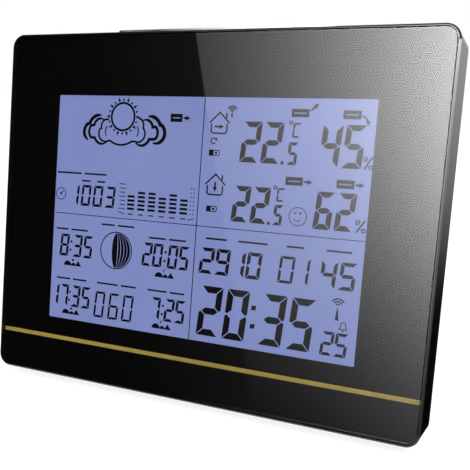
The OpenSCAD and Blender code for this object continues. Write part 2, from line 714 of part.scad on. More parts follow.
pad_w = leg_w - 16;
pad_l = 6;
pad_pocket = 1;
module stand_leg() color([0.06, 0.06, 0.065]) leg_place() difference() {
    union() {
        rotate([0, 90, 0]) cylinder(h = leg_w, r = barrel_r, center = true);
        slab(-leg_t / 2, leg_t / 2) at(0, leg_l / 2 + 1) round_rect(leg_w, leg_l - 2, 3);
        slab(-leg_t / 2, leg_t / 2) at(0, 4) square([leg_w, 8], center = true);
    }
    rotate([0, 90, 0]) cylinder(h = leg_w + 2, r = pin_r + 2 * pin_fit, center = true);
    // shallow panel in the outer face and the pocket for the pad
    slab(-leg_t / 2 - 1, -leg_t / 2 + 0.8) at(0, leg_l / 2) round_rect(leg_w - 14, leg_l - 22, 3);
    slab(leg_t / 2 - pad_pocket, leg_t / 2 + 1)
        at(0, leg_l - pad_l / 2 - 2) square([pad_w, pad_l], center = true);
}

module stand_pin() color([0.75, 0.75, 0.78]) leaned()
    translate([0, leg_hinge_y, leg_hinge_z]) rotate([0, 90, 0])
        cylinder(h = recess_w + 2 * recess_wall - 1.4, r = pin_r, center = true);

module stand_pad() color([0.08, 0.08, 0.08]) intersection() {
    above_desk();
    leg_place() slab(leg_t / 2 - pad_pocket, leg_t / 2 + 4)
        at(0, leg_l - pad_l / 2 - 2) square([pad_w - 2 * seat, pad_l - 2 * seat], center = true);
}

module base_foot() color([0.08, 0.08, 0.08]) intersection() {
    above_desk();
    leaned() translate([-foot_w / 2, foot_y - foot_d / 2, -6]) cube([foot_w, foot_d, 6 + foot_pocket]);
}

module case_screws() color([0.5, 0.5, 0.52]) leaned()
    for (sx = [-1, 1], z = case_screw_z)
        screw(sx * case_screw_x, z, panel_y + panel_t + 1, case_d - 0.1, 1.4, head_r);

front_lens();
lens_print();
gold_stripe();
lens_adhesive();
front_bezel();
front_polariser();
front_glass();
rear_glass();
rear_polariser();
display_frame();
diffuser_sheet();
light_guide();
reflector_sheet();
lamp_strip();
backlight_lamps();
contact_rubbers();
main_board();
chip_domes();
watch_crystal();
supply_capacitor();
pressure_sensor();
humidity_sensor();
radio_board();
radio_pins();
radio_coil();
ferrite_rod();
ferrite_winding();
board_screws();
key_switches();
snooze_bar();
snooze_board();
snooze_switches();
snooze_ribbon();
key_set();
key_plus();
key_minus();
key_channel();
key_history();
key_alarm();
slide_switch();
slide_knob();
power_socket();
power_socket_pin();
buzzer_disc();
buzzer_ceramic();
rear_cover();
batteries();
battery_plates();
battery_springs();
battery_door();
stand_leg();
stand_pin();
stand_pad();
base_foot();
case_screws();
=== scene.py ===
"""Looks of the desk weather station: materials, the display's segments, the light and the camera."""

import math

import bmesh
import bpy
from mathutils import Matrix, Vector


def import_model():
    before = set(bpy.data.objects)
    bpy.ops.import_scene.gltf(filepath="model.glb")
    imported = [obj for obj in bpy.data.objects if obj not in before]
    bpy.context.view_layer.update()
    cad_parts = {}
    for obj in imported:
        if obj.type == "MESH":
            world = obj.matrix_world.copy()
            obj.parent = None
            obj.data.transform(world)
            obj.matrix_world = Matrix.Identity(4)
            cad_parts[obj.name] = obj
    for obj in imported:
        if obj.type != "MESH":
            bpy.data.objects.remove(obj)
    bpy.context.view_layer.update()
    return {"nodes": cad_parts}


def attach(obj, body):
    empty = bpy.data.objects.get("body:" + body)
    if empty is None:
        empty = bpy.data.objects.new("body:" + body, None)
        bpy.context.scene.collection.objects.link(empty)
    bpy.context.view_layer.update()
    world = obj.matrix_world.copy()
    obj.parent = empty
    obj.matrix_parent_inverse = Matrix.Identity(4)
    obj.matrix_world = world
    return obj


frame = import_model()
scene = bpy.context.scene

# ---------------------------------------------------------------- places

LEAN = math.radians(10)
CASE_H, CASE_D = 147.0, 20.0
FOOT_Y = 15.0
FOOT_RISE = 0.8  # how far the rubber foot keeps the case off the desk
LIFT = CASE_D * math.sin(LEAN) + FOOT_RISE
LENS_FRONT = Vector((0, -math.cos(LEAN), math.sin(LEAN)))  # the way that the lens faces


def row(x, y, z):
    """A point of the upright case, in mm, as a point of the row frame, in metres."""
    c, s = math.cos(LEAN), math.sin(LEAN)
    return Vector((x, y * c + z * s - FOOT_Y * c, -y * s + z * c + LIFT)) / 1000


# ---------------------------------------------------------------- materials


class Nodes:
    """Makes the nodes of one material."""

    def __init__(self, tree):
        self.tree = tree
        tree.nodes.clear()

    def add(self, kind, **values):
        n = self.tree.nodes.new(kind)
        for key, value in values.items():
            setattr(n, key, value)
        return n

    def link(self, a, b):
        self.tree.links.new(a, b)

    def put(self, node, name, value):
        node.inputs[name].default_value = value

    def coords(self, stretch=(1, 1, 1)):
        c = self.add("ShaderNodeTexCoord")
        m = self.add("ShaderNodeMapping")
        m.inputs["Scale"].default_value = stretch
        self.link(c.outputs["Object"], m.inputs["Vector"])
        return m.outputs["Vector"]

    def noise(self, scale, detail=3.0, stretch=(1, 1, 1)):
        n = self.add("ShaderNodeTexNoise")
        self.put(n, "Scale", scale)
        self.put(n, "Detail", detail)
        self.put(n, "Roughness", 0.55)
        self.link(self.coords(stretch), n.inputs["Vector"])
        return n.outputs["Fac"]

    def spread(self, value, low, high, start=0.3, end=0.7):
        r = self.add("ShaderNodeMapRange")
        for name, v in (("From Min", start), ("From Max", end), ("To Min", low), ("To Max", high)):
            self.put(r, name, v)
        self.link(value, r.inputs["Value"])
        return r.outputs["Result"]

    def blend(self, fac, a, b):
        m = self.add("ShaderNodeMix", data_type="RGBA")
        self.link(fac, m.inputs[0])
        for socket, value in ((m.inputs[6], a), (m.inputs[7], b)):
            if isinstance(value, bpy.types.NodeSocket):
                self.link(value, socket)
            else:
                socket.default_value = (*value, 1)
        return m.outputs[2]

    def bump(self, height, depth):
        b = self.add("ShaderNodeBump")
        self.put(b, "Distance", depth)
        self.put(b, "Strength", 1.0)
        self.link(height, b.inputs["Height"])
        return b.outputs["Normal"]

    def out(self, shader):
        o = self.add("ShaderNodeOutputMaterial")
        self.link(shader, o.inputs["Surface"])


def new_material(name):
    m = bpy.data.materials.new(name)
    m.use_nodes = True
    return m, Nodes(m.node_tree)


def surface(name, colour, rough, other=None, metal=0.0, specular=0.5, grain=2500.0, depth=0.00001,
            stretch=(1, 1, 1), rough_by=0.08, patch=60.0):
    """A moulded, painted or metal surface: colour varies in patches, gloss and bump by a fine grain."""
    m, n = new_material(name)
    p = n.add("ShaderNodeBsdfPrincipled")
    n.put(p, "Metallic", metal)
    n.put(p, "Specular IOR Level", specular)
    fine = n.noise(grain, 4.0, stretch)
    broad = n.noise(patch, 2.0)
    other = other or tuple(c * 1.18 for c in colour)
    n.link(n.blend(n.spread(broad, 0.0, 1.0), colour, other), p.inputs["Base Color"])
    n.link(n.spread(fine, max(0.02, rough - rough_by), min(1.0, rough + rough_by)), p.inputs["Roughness"])
    if depth:
        n.link(n.bump(fine, depth), p.inputs["Normal"])
    n.out(p.outputs["BSDF"])
    return m


def clear_lens():
    """Clear acrylic: it mirrors by Fresnel at its front and lets all else through."""
    m, n = new_material("lens_clear")
    clear = n.add("ShaderNodeBsdfTransparent")
    shine = n.add("ShaderNodeBsdfPrincipled")
    n.put(shine, "Base Color", (1, 1, 1, 1))
    n.put(shine, "Metallic", 1.0)
    smear = n.noise(35.0, 3.0)
    n.link(n.spread(smear, 0.015, 0.045), shine.inputs["Roughness"])
    fresnel = n.add("ShaderNodeFresnel")
    n.put(fresnel, "IOR", 1.49)
    side = n.add("ShaderNodeNewGeometry")
    front = n.add("ShaderNodeMath", operation="SUBTRACT")
    n.put(front, 0, 1.0)
    n.link(side.outputs["Backfacing"], front.inputs[1])
    share = n.add("ShaderNodeMath", operation="MULTIPLY")
    n.link(fresnel.outputs["Fac"], share.inputs[0])
    n.link(front.outputs["Value"], share.inputs[1])
    mix = n.add("ShaderNodeMixShader")
    n.link(share.outputs["Value"], mix.inputs[0])
    n.link(clear.outputs["BSDF"], mix.inputs[1])
    n.link(shine.outputs["BSDF"], mix.inputs[2])
    n.out(mix.outputs["Shader"])
    return m


def lit_panel():
    """The back-lit display: an even blue with faint clouding from the light guide."""
    m, n = new_material("display_blue")
    p = n.add("ShaderNodeBsdfPrincipled")
    n.put(p, "Base Color", (0.02, 0.022, 0.03, 1))
    n.put(p, "Roughness", 0.6)
    n.put(p, "Specular IOR Level", 0.0)
    cloud = n.noise(22.0, 2.0)
    blue = n.blend(n.spread(cloud, 0.0, 1.0), (0.184, 0.228, 0.492), (0.2, 0.246, 0.515))
    n.link(blue, p.inputs["Emission Color"])
    n.put(p, "Emission Strength", 1.0)
    n.out(p.outputs["BSDF"])
    return m


def glass(name, tint, rough=0.03):
    m, n = new_material(name)
    p = n.add("ShaderNodeBsdfPrincipled")
    n.put(p, "Base Color", (*tint, 1))
    n.put(p, "Transmission Weight", 1.0)
    n.put(p, "IOR", 1.5)
    n.link(n.spread(n.noise(120.0), rough, rough + 0.05), p.inputs["Roughness"])
    n.out(p.outputs["BSDF"])
    return m


def cell_material():
    """A battery cell: a printed wrap between bare steel ends."""
    m, n = new_material("cell_wrap")
    p = n.add("ShaderNodeBsdfPrincipled")
    c = n.add("ShaderNodeTexCoord")
    split = n.add("ShaderNodeSeparateXYZ")
    n.link(c.outputs["Object"], split.inputs["Vector"])
    far = n.add("ShaderNodeMath", operation="ABSOLUTE")
    n.link(split.outputs["X"], far.inputs[0])
    ends = n.spread(far.outputs["Value"], 0.0, 1.0, 0.0237, 0.024)
    band = n.spread(split.outputs["X"], 0.0, 1.0, -0.0102, -0.01)
    wrap = n.blend(band, (0.35, 0.22, 0.05), (0.012, 0.016, 0.03))
    n.link(n.blend(ends, wrap, (0.55, 0.55, 0.56)), p.inputs["Base Color"])
    n.link(ends, p.inputs["Metallic"])
    n.link(n.spread(n.noise(900.0), 0.22, 0.38), p.inputs["Roughness"])
    n.out(p.outputs["BSDF"])
    return m


def board_material(name, mask, track):
    """A circuit board: solder mask with faint tracks."""
    m, n = new_material(name)
    p = n.add("ShaderNodeBsdfPrincipled")
    v = n.add("ShaderNodeTexVoronoi", distance="CHEBYCHEV")
    n.put(v, "Scale", 260.0)
    n.link(n.coords((1, 1, 3)), v.inputs["Vector"])
    tracks = n.spread(v.outputs["Distance"], 0.0, 1.0, 0.32, 0.36)
    n.link(n.blend(tracks, mask, track), p.inputs["Base Color"])
    n.link(n.spread(n.noise(1500.0), 0.25, 0.4), p.inputs["Roughness"])
    n.link(n.bump(tracks, 0.00003), p.inputs["Normal"])
    n.out(p.outputs["BSDF"])
    return m


MATERIALS = {
    "lens_clear": clear_lens(),
    "display_blue": lit_panel(),
    "print_black": surface("print_black", (0.0012, 0.0012, 0.0013), 0.6, specular=0.0, grain=4000,
                           depth=0),
    "segment_black": surface("segment_black", (0.0025, 0.0025, 0.003), 0.7, specular=0.0, grain=4000,
                             depth=0),
    "stripe_gold": surface("stripe_gold", (0.6, 0.455, 0.08), 0.42, (0.67, 0.51, 0.11), specular=0.3,
                           grain=1500, stretch=(0.05, 1, 1), depth=0.000004, patch=40),
    "case_black": surface("case_black", (0.0045, 0.0045, 0.005), 0.07, rough_by=0.02, grain=300,
                          depth=0.0000004),
    "cover_black": surface("cover_black", (0.014, 0.014, 0.015), 0.5, grain=2600, depth=0.00004),
    "leg_black": surface("leg_black", (0.016, 0.016, 0.017), 0.46, grain=2600, depth=0.00004),
    "snooze_silver": surface("snooze_silver", (0.6, 0.61, 0.63), 0.2, metal=1.0, grain=1800,
                             stretch=(0.04, 1, 1), depth=0.000004),
    "key_black": surface("key_black", (0.02, 0.02, 0.022), 0.62, grain=3200, depth=0.00002),
    "rubber_black": surface("rubber_black", (0.018, 0.018, 0.018), 0.8, grain=2800, depth=0.00003),
    "glass_clear": glass("glass_clear", (0.93, 0.98, 0.96)),
    "guide_clear": glass("guide_clear", (0.85, 0.9, 1.0), 0.1),
    "plastic_white": surface("plastic_white", (0.75, 0.75, 0.72), 0.45, (0.82, 0.82, 0.8), grain=2200,
                             depth=0.00002),
    "film_white": surface("film_white", (0.85, 0.86, 0.88), 0.35, (0.9, 0.9, 0.92), grain=900,
                          depth=0.000004),
    "foil": surface("foil", (0.8, 0.8, 0.82), 0.22, metal=1.0, grain=600, depth=0.00001),
    "board_green": board_material("board_green", (0.012, 0.11, 0.035), (0.02, 0.16, 0.05)),
    "board_blue": board_material("board_blue", (0.012, 0.05, 0.18), (0.02, 0.08, 0.24)),
    "part_black": surface("part_black", (0.012, 0.012, 0.012), 0.4, grain=2400, depth=0.00002),
    "steel": surface("steel", (0.56, 0.56, 0.57), 0.3, metal=1.0, grain=1500, depth=0.000005),
    "pin_steel": surface("pin_steel", (0.5, 0.5, 0.52), 0.25, metal=1.0, grain=1200, stretch=(0.05, 1, 1),
                         depth=0.000004),
    "copper": surface("copper", (0.72, 0.34, 0.16), 0.3, metal=1.0, grain=1800, depth=0.00001),
    "brass": surface("brass", (0.7, 0.52, 0.22), 0.32, metal=1.0, grain=1300, depth=0.000006),
    "ferrite": surface("ferrite", (0.03, 0.03, 0.033), 0.55, (0.05, 0.048, 0.045), grain=3500,
                       depth=0.00004),
    "ceramic": surface("ceramic", (0.78, 0.76, 0.7), 0.4, grain=2600, depth=0.00001),
    "contact_pink": surface("contact_pink", (0.55, 0.16, 0.2), 0.6, (0.62, 0.2, 0.24), grain=2000,
                            depth=0.00002),
    "ribbon_white": surface("ribbon_white", (0.6, 0.6, 0.56), 0.4, grain=1500, stretch=(4, 0.1, 0.1),
                            depth=0.00003),
    "cell_wrap": cell_material(),
}

WEARS = {
    "front_lens": "lens_clear", "lens_print": "print_black", "gold_stripe": "stripe_gold",
    "lens_adhesive": "rubber_black", "front_bezel": "case_black", "front_polariser": "display_blue",
    "front_glass": "glass_clear", "rear_glass": "glass_clear", "rear_polariser": "film_white",
    "display_frame": "plastic_white", "diffuser_sheet": "film_white", "light_guide": "guide_clear",
    "reflector_sheet": "foil", "lamp_strip": "board_blue", "backlight_lamps": "film_white",
    "contact_rubbers": "contact_pink", "main_board": "board_green", "chip_domes": "part_black",
    "watch_crystal": "steel", "supply_capacitor": "part_black", "pressure_sensor": "steel",
    "humidity_sensor": "plastic_white", "radio_board": "board_blue", "radio_pins": "brass",
    "radio_coil": "copper", "ferrite_rod": "ferrite", "ferrite_winding": "copper",
    "board_screws": "steel", "key_switches": "part_black", "snooze_bar": "snooze_silver",
    "snooze_board": "board_green", "snooze_switches": "part_black", "snooze_ribbon": "ribbon_white",
    "key_set": "key_black", "key_plus": "key_black", "key_minus": "key_black", "key_channel": "key_black",
    "key_history": "key_black", "key_alarm": "key_black", "slide_switch": "steel",
    "slide_knob": "part_black", "power_socket": "part_black", "power_socket_pin": "pin_steel",
    "buzzer_disc": "brass", "buzzer_ceramic": "ceramic", "rear_cover": "cover_black",
    "batteries": "cell_wrap", "battery_plates": "steel", "battery_springs": "steel",
    "battery_door": "cover_black", "stand_leg": "leg_black", "stand_pin": "pin_steel",
    "stand_pad": "rubber_black", "base_foot": "rubber_black", "case_screws": "steel",
}

for name, node in frame["nodes"].items():
    node.data.materials.clear()
    node.data.materials.append(MATERIALS[WEARS[name]])

# ---------------------------------------------------------------- the display's segments

WINDOW_W, WINDOW_H, WINDOW_X = 139.0, 96.4, -0.4
ART_FRONT, ART_BACK = 2.83, 2.885  # depths behind the lens's front face, just before the display
SLANT = math.tan(math.radians(4.5))
LABEL_HALF = 0.35  # half the height of a bar that stands for a word


def art_point(x, z, y):
    """A point at x, z from the window's lower left corner, y behind the lens's front face."""
    return row(x + WINDOW_X - WINDOW_W / 2, y, z + CASE_H / 2 - WINDOW_H / 2)


class Art:
    """One piece of the display's print, made of thin prisms. Sizes are mm from the window's lower left."""

    def __init__(self, name):
        self.name = name
        self.bm = bmesh.new()

    def corner(self, point, deep):
        return self.bm.verts.new(art_point(*point, ART_BACK if deep else ART_FRONT))

    def prism(self, points):
        area = sum(a[0] * b[1] - b[0] * a[1] for a, b in zip(points, points[1:] + points[:1]))
        if area < 0:
            points = points[::-1]
        front = [self.corner(point, False) for point in points]
        back = [self.corner(point, True) for point in points]
        self.bm.faces.new(front)
        self.bm.faces.new(back[::-1])
        for i in range(len(points)):
            j = (i + 1) % len(points)
            self.bm.faces.new((front[i], back[i], back[j], front[j]))

    def box(self, x0, z0, x1, z1):
        self.prism([(x0, z0), (x1, z0), (x1, z1), (x0, z1)])

    def stroke(self, points, width, closed=False, taper=1.0):
        """A ribbon of quads along points. taper is the share of the width kept at the ends."""
        n = len(points)
        left, right = [], []
        for i, (x, z) in enumerate(points):
            if closed:
                before, after = points[i - 1], points[(i + 1) % n]
            else:
                before, after = points[max(i - 1, 0)], points[min(i + 1, n - 1)]
            d1 = Vector((x - before[0], z - before[1]))
            d2 = Vector((after[0] - x, after[1] - z))
            d1 = (d1 if d1.length > 1e-6 else d2).normalized()
            d2 = (d2 if d2.length > 1e-6 else d1).normalized()
            mid = (d1 + d2).normalized() if (d1 + d2).length > 1e-3 else d1
            half = width / 2 / max(0.5, mid.dot(d1))
            if not closed and taper < 1:
                half *= taper + (1 - taper) * min(1.0, 2.2 * math.sin(math.pi * i / (n - 1)))
            left.append((x - mid.y * half, z + mid.x * half))
            right.append((x + mid.y * half, z - mid.x * half))
        rings = []
        for a, b in zip(left, right):
            rings.append([self.corner(point, deep) for point, deep in
                          ((a, False), (b, False), (b, True), (a, True))])
        for i in range(n if closed else n - 1):
            a, b = rings[i], rings[(i + 1) % n]
            for k in range(4):
                self.bm.faces.new((a[k], a[(k + 1) % 4], b[(k + 1) % 4], b[k]))
        if not closed:
            self.bm.faces.new(rings[0][::-1])
            self.bm.faces.new(rings[-1])

    def ring(self, x, z, r, width, n=40):
        self.stroke(arc(x, z, r, 0, 360, n)[:-1], width, closed=True)

    def disc(self, x, z, r, n=24):
        self.prism(arc(x, z, r, 0, 360, n)[:-1])

    def arrow(self, x0, z0, x1, z1, width=0.75, head=2.0):
        d = Vector((x1 - x0, z1 - z0)).normalized()
        side = Vector((-d.y, d.x)) * head * 0.5
        base = Vector((x1, z1)) - d * head
        self.stroke([(x0, z0), tuple(base)], width)
        self.prism([tuple(base + side), tuple(base - side), (x1, z1)])

    def label(self, x0, z0, x1, z1, words=(1,)):
        """Plain bars that stand for the words of a label."""
        total = sum(words)
        space = min(1.6, 0.12 * (x1 - x0))
        room = (x1 - x0) - space * (len(words) - 1)
        mid, x = (z0 + z1) / 2, x0
        for w in words:
            end = x + room * w / total
            self.box(x, mid - LABEL_HALF, end, mid + LABEL_HALF)
            x = end + space

    def digit(self, figure, x, z, w, h, t):
        """One slanted seven-segment figure with its lower left corner at x, z."""
        g = 0.022 * w + 0.05  # sets the gap between two segments
        m = h / 2
        tip, shoulder = t * 0.35 + g, t * 0.95 + g  # where the middle bar's ends start and are full
        shapes = {
            "a": [(g, h), (w - g, h), (w - t - g, h - t), (t + g, h - t)],
            "d": [(g, 0), (w - g, 0), (w - t - g, t), (t + g, t)],
            "f": [(0, h - g), (t, h - t - g), (t, m + t * 0.55 + g),
                  (t * 0.3, m + g * 0.8), (0, m + t * 0.2 + g)],
            "e": [(0, g), (t, t + g), (t, m - t * 0.55 - g), (t * 0.3, m - g * 0.8),
                  (0, m - t * 0.2 - g)],
            "g": [(tip, m), (shoulder, m + t / 2), (w - shoulder, m + t / 2),
                  (w - tip, m), (w - shoulder, m - t / 2), (shoulder, m - t / 2)],
        }
        shapes["b"] = [(w - px, pz) for px, pz in shapes["f"]]
        shapes["c"] = [(w - px, pz) for px, pz in shapes["e"]]
        lit = {"0": "abcdef", "1": "bc", "2": "abged", "3": "abgcd", "4": "fgbc", "5": "afgcd",
               "6": "afgedc", "7": "abc", "8": "abcdefg", "9": "abfgcd", "C": "afed"}[figure]
        for s in lit:
            self.prism([(x + px + pz * SLANT, z + pz) for px, pz in shapes[s]])

    def colon(self, x, z, h, size):
        half, lean = size / 2, size * SLANT
        for k in (0.3, 0.68):
            cx, cz = x + h * k * SLANT, z + h * k
            self.prism([(cx - half, cz - half), (cx + half, cz - half),
                        (cx + half + lean, cz + half), (cx - half + lean, cz + half)])

    def figures(self, places, z, w, h, t):
        for figure, x in places:
            self.digit(figure, x, z, w, h, t)

    def finish(self):
        bmesh.ops.recalc_face_normals(self.bm, faces=self.bm.faces)
        mesh = bpy.data.meshes.new(self.name)
        self.bm.to_mesh(mesh)
        self.bm.free()
        mesh.materials.append(MATERIALS["segment_black"])
        obj = bpy.data.objects.new(self.name, mesh)
        scene.collection.objects.link(obj)
        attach(obj, "case")
        return obj


def arc(x, z, r, start, end, n=14):
    return [(x + r * math.cos(math.radians(start + (end - start) * i / n)),
             z + r * math.sin(math.radians(start + (end - start) * i / n))) for i in range(n + 1)]


def lobes(*arcs):
    """One outline through several lobes, each (x, z, radius, start angle, end angle)."""
    return [p for a in arcs for p in arc(*a)]


def draw_dividers():
    art = Art("display_dividers")
    art.stroke([(69.9, 0.05), (69.9, 96.35)], 0.36)
    art.stroke([(0.05, 46.0), (69.7, 46.0)], 0.3)
    art.stroke([(70.1, 46.0), (138.95, 46.0)], 0.3)
    return art.finish()


def draw_forecast():
    art = Art("display_forecast")
    sx, sz = 32.2, 88.0
    art.ring(sx, sz, 5.6, 0.9, 48)
    for k in range(20):
        a = math.radians(18 * k)
        long = k % 2 == 0
        tip, base, half = (8.3 if long else 7.6), 6.5, math.radians(6.0 if long else 5.2)
        if sz + tip * math.sin(a) > WINDOW_H - 0.1:
            tip = (WINDOW_H - 0.1 - sz) / math.sin(a)
        art.prism([(sx + base * math.cos(a - half), sz + base * math.sin(a - half)),
                   (sx + base * math.cos(a + half), sz + base * math.sin(a + half)),
                   (sx + tip * math.cos(a), sz + tip * math.sin(a))])
    front = lobes((24.6, 83.9, 2.9, 75, 198), (24.0, 80.9, 3.4, 146, 296), (31.7, 86.0, 9.6, 236, 304),
                  (39.9, 81.2, 3.4, 250, 405), (39.5, 84.7, 2.9, -12, 85))
    art.stroke(front, 0.8)
    art.stroke(arc(27.7, 81.9, 3.8, 142, 214), 0.5, taper=0.4)
    art.stroke(arc(36.2, 82.1, 3.8, -34, 38), 0.5, taper=0.4)
    art.stroke(lobes((21.3, 83.8, 3.2, 62, 172), (18.9, 81.6, 3.3, 132, 232), (22.3, 80.5, 4.0, 202, 306)),
               1.1, taper=0.4)
    art.stroke(lobes((43.4, 83.6, 3.4, 112, 8), (46.0, 81.8, 3.3, 50, -50), (41.7, 80.4, 3.9, -18, -132)),
               1.2, taper=0.4)
    art.stroke(lobes((20.5, 83.5, 4.9, 78, 163), (17.0, 81.5, 3.9, 128, 245)), 1.45, taper=0.35)
    art.stroke(lobes((45.5, 83.4, 5.0, 103, 20), (48.5, 81.7, 4.1, 55, -108)), 1.55, taper=0.35)
    return art.finish()


def inverted_box(art, x0, z0, x1, z1):
    """A dark box with a pale bar in it, in place of a word."""
    mid, half, side = (z0 + z1) / 2, 0.2, 1.0
    art.box(x0, z0, x1, mid - half)
    art.box(x0, mid + half, x1, z1)
    art.box(x0, mid - half, x0 + side, mid + half)
    art.box(x1 - side, mid - half, x1, mid + half)


def draw_pressure():
    art = Art("display_pressure")
    inverted_box(art, 54.9, 86.5, 60.3, 89.7)
    art.arrow(60.8, 88.1, 63.9, 88.1)
    art.label(0.3, 62.6, 25.6, 64.6, (8, 7))
    art.label(13.4, 59.9, 17.7, 61.2)
    art.label(21.2, 59.9, 25.2, 61.2)
    art.ring(2.6, 54.4, 2.5, 0.3, 28)
    art.stroke([(2.6, 54.4), (3.9, 55.8)], 0.35)
    art.disc(2.6, 54.4, 0.5)
    art.figures((("1", 7.0), ("0", 13.1), ("0", 19.2), ("3", 25.4)), 49.9, 4.7, 8.9, 1.1)
    return art.finish()


def draw_history():
    art = Art("display_history")
    for i, count in enumerate((4, 5, 5, 4, 5, 4)):
        x = 36.8 + 5.0 * i
        for k in range(count):
            art.box(x, 49.9 + 1.7 * k, x + 3.4, 50.85 + 1.7 * k)
        art.box(x + 0.5, 47.9, x + 2.9, 48.4)
    for k in range(7):
        z = 50.0 + 1.7 * k
        art.box(33.0 if k % 3 else 32.4, z, 35.6, z + 0.36)
        art.box(66.3, z, 66.8, z + 0.45)
        art.box(67.6, z, 68.1, z + 0.45)
    art.stroke([(32.4, 48.8), (35.6, 47.9)], 0.3)
    art.stroke([(65.6, 47.9), (68.6, 48.6)], 0.3)
    return art.finish()


def hills(art, x, z, moon):
    """Two rounded hills and a peak with the sun or the moon over them, 9 mm wide."""
    art.prism([(x, z), *arc(x + 1.9, z + 0.1, 1.9, 170, 20, 8), (x + 4.0, z)])
    art.prism([(x + 4.0, z), *arc(x + 5.0, z + 0.2, 1.15, 160, 30, 6), (x + 6.1, z)])
    art.prism([(x + 5.9, z), (x + 7.5, z + 2.3), (x + 9.1, z)])
    if moon:
        art.stroke(arc(x + 4.6, z + 2.7, 0.6, 60, 250, 8), 0.3, taper=0.4)
    else:
        art.disc(x + 4.7, z + 2.5, 0.55, 12)


def draw_sun_times():
    art = Art("display_sun_times")
    art.label(1.2, 38.2, 17.7, 40.3, (3, 4))
    art.figures((("8", 3.3), ("3", 10.2), ("5", 15.6)), 27.5, 4.5, 9.6, 1.15)
    art.colon(8.9, 27.5, 9.5, 0.9)
    hills(art, 6.1, 23.5, False)
    art.label(2.7, 16.7, 18.4, 18.7, (3, 3))
    art.figures((("1", -0.7), ("7", 4.4), ("3", 10.6), ("5", 15.9)), 5.6, 4.4, 9.4, 1.15)
    art.colon(9.5, 5.6, 9.3, 0.9)
    hills(art, 6.4, 2.2, False)
    return art.finish()


def draw_moon_times():
    art = Art("display_moon_times")
    art.label(48.4, 38.2, 65.7, 40.3, (4, 4))
    art.figures((("2", 45.4), ("0", 50.4), ("0", 57.5), ("5", 62.6)), 27.5, 4.4, 9.6, 1.15)
    art.colon(56.1, 27.5, 9.5, 0.9)
    hills(art, 52.2, 23.5, True)
    art.label(49.4, 16.7, 66.5, 18.7, (4, 3))
    art.figures((("7", 50.9), ("2", 57.5), ("5", 62.5)), 5.6, 4.4, 9.4, 1.15)
    art.colon(56.5, 5.6, 9.3, 0.9)
    hills(art, 52.3, 2.2, True)
    return art.finish()


def draw_moon():
    art = Art("display_moon")
    art.label(24.7, 41.8, 41.0, 43.8, (4, 5))
    x, z, r = 32.6, 32.3, 7.7
    art.ring(x, z, r, 0.45, 48)
    r -= 0.35
    for low, high in ((-16, 5), (8, 17), (20, 31), (34, 47), (50, 72)):
        side = []
        for turn, order in ((high, 1), (low, -1)):
            line = [(x + r * math.sin(math.radians(turn)) * math.cos(f), z + r * math.sin(f))
                    for f in (math.radians(-80 + 160 * i / 16) for i in range(17))]
            side += line[::order]
        art.prism(side)
    return art.finish()


def draw_place():
    art = Art("display_place")
    art.label(24.0, 16.7, 43.6, 18.7, (7, 5))
    art.figures((("0", 22.8), ("6", 30.0), ("0", 37.0)), 2.8, 5.0, 11.2, 0.95)
    return art.finish()


def house(art, x, z, arrow_in):
    art.stroke([(x, z + 4.2), (x + 4.3, z + 8.3), (x + 8.6, z + 4.2)], 0.6)
    art.stroke([(x + 7.2, z + 6.0), (x + 7.2, z + 8.0)], 0.65)
    art.stroke([(x + 0.9, z + 3.9), (x + 0.9, z + 0.9), (x + 1.6, z + 0.25), (x + 6.9, z + 0.25),
                (x + 7.6, z + 0.9), (x + 7.6, z + 3.9)], 0.6)
    if arrow_in:
        art.arrow(x + 4.25, z + 5.2, x + 4.25, z + 1.4, 0.7, 1.8)
    else:
        art.arrow(x + 2.3, z + 2.8, x + 6.3, z + 2.8, 0.7, 1.8)


def battery_icon(art, x, z):
    art.box(x, z, x + 2.0, z + 2.3)
    art.stroke([(x + 2.0, z + 2.15), (x + 4.1, z + 2.15), (x + 4.5, z + 1.7), (x + 4.5, z + 0.6),
                (x + 4.1, z + 0.15), (x + 2.0, z + 0.15)], 0.35)
    art.box(x + 2.6, z + 0.7, x + 3.6, z + 1.6)


def degrees(art, x, z, h):
    art.ring(x, z + h, 0.6, 0.4, 14)
    art.digit("C", x + 0.7, z, 3.1, h, 0.7)


def percent(art, x, z, w, h):
    art.stroke([(x + 0.3, z), (x + w - 0.3, z + h)], 0.6)
    art.ring(x + 0.6, z + h - 0.9, 0.65, 0.45, 12)
    art.ring(x + w - 0.7, z + 0.8, 0.65, 0.45, 12)


def draw_outdoor():
    art = Art("display_outdoor")
    house(art, 72.6, 82.4, False)
    for r in (0.7, 1.6, 2.5):
        art.stroke(arc(82.0, 90.6, r, 42, 138, 8), 0.6)
    art.stroke([(82.0, 88.9), (82.0, 90.6)], 0.6)
    art.stroke(arc(74.9, 79.7, 1.1, 30, 320, 14), 0.45)
    art.prism([(75.3, 79.9), (76.6, 79.9), (76.2, 81.1)])
    battery_icon(art, 73.2, 73.9)
    art.figures((("2", 86.4), ("2", 95.2)), 72.0, 7.6, 15.5, 2.1)
    art.box(103.6, 71.9, 104.8, 73.1)
    art.digit("5", 105.8, 71.9, 3.9, 8.4, 1.2)
    degrees(art, 106.6, 82.0, 5.5)
    inverted_box(art, 106.5, 89.6, 113.4, 92.6)
    art.arrow(113.9, 92.0, 116.9, 94.7)
    art.figures((("4", 118.2), ("5", 127.0)), 71.7, 7.5, 15.6, 2.15)
    inverted_box(art, 126.4, 89.3, 133.1, 92.4)
    art.stroke([(133.5, 90.6), (134.8, 89.9), (135.6, 88.6)], 0.6)
    art.prism([(134.9, 88.6), (136.5, 88.9), (136.2, 86.8)])
    percent(art, 135.5, 71.6, 3.3, 4.6)
    return art.finish()


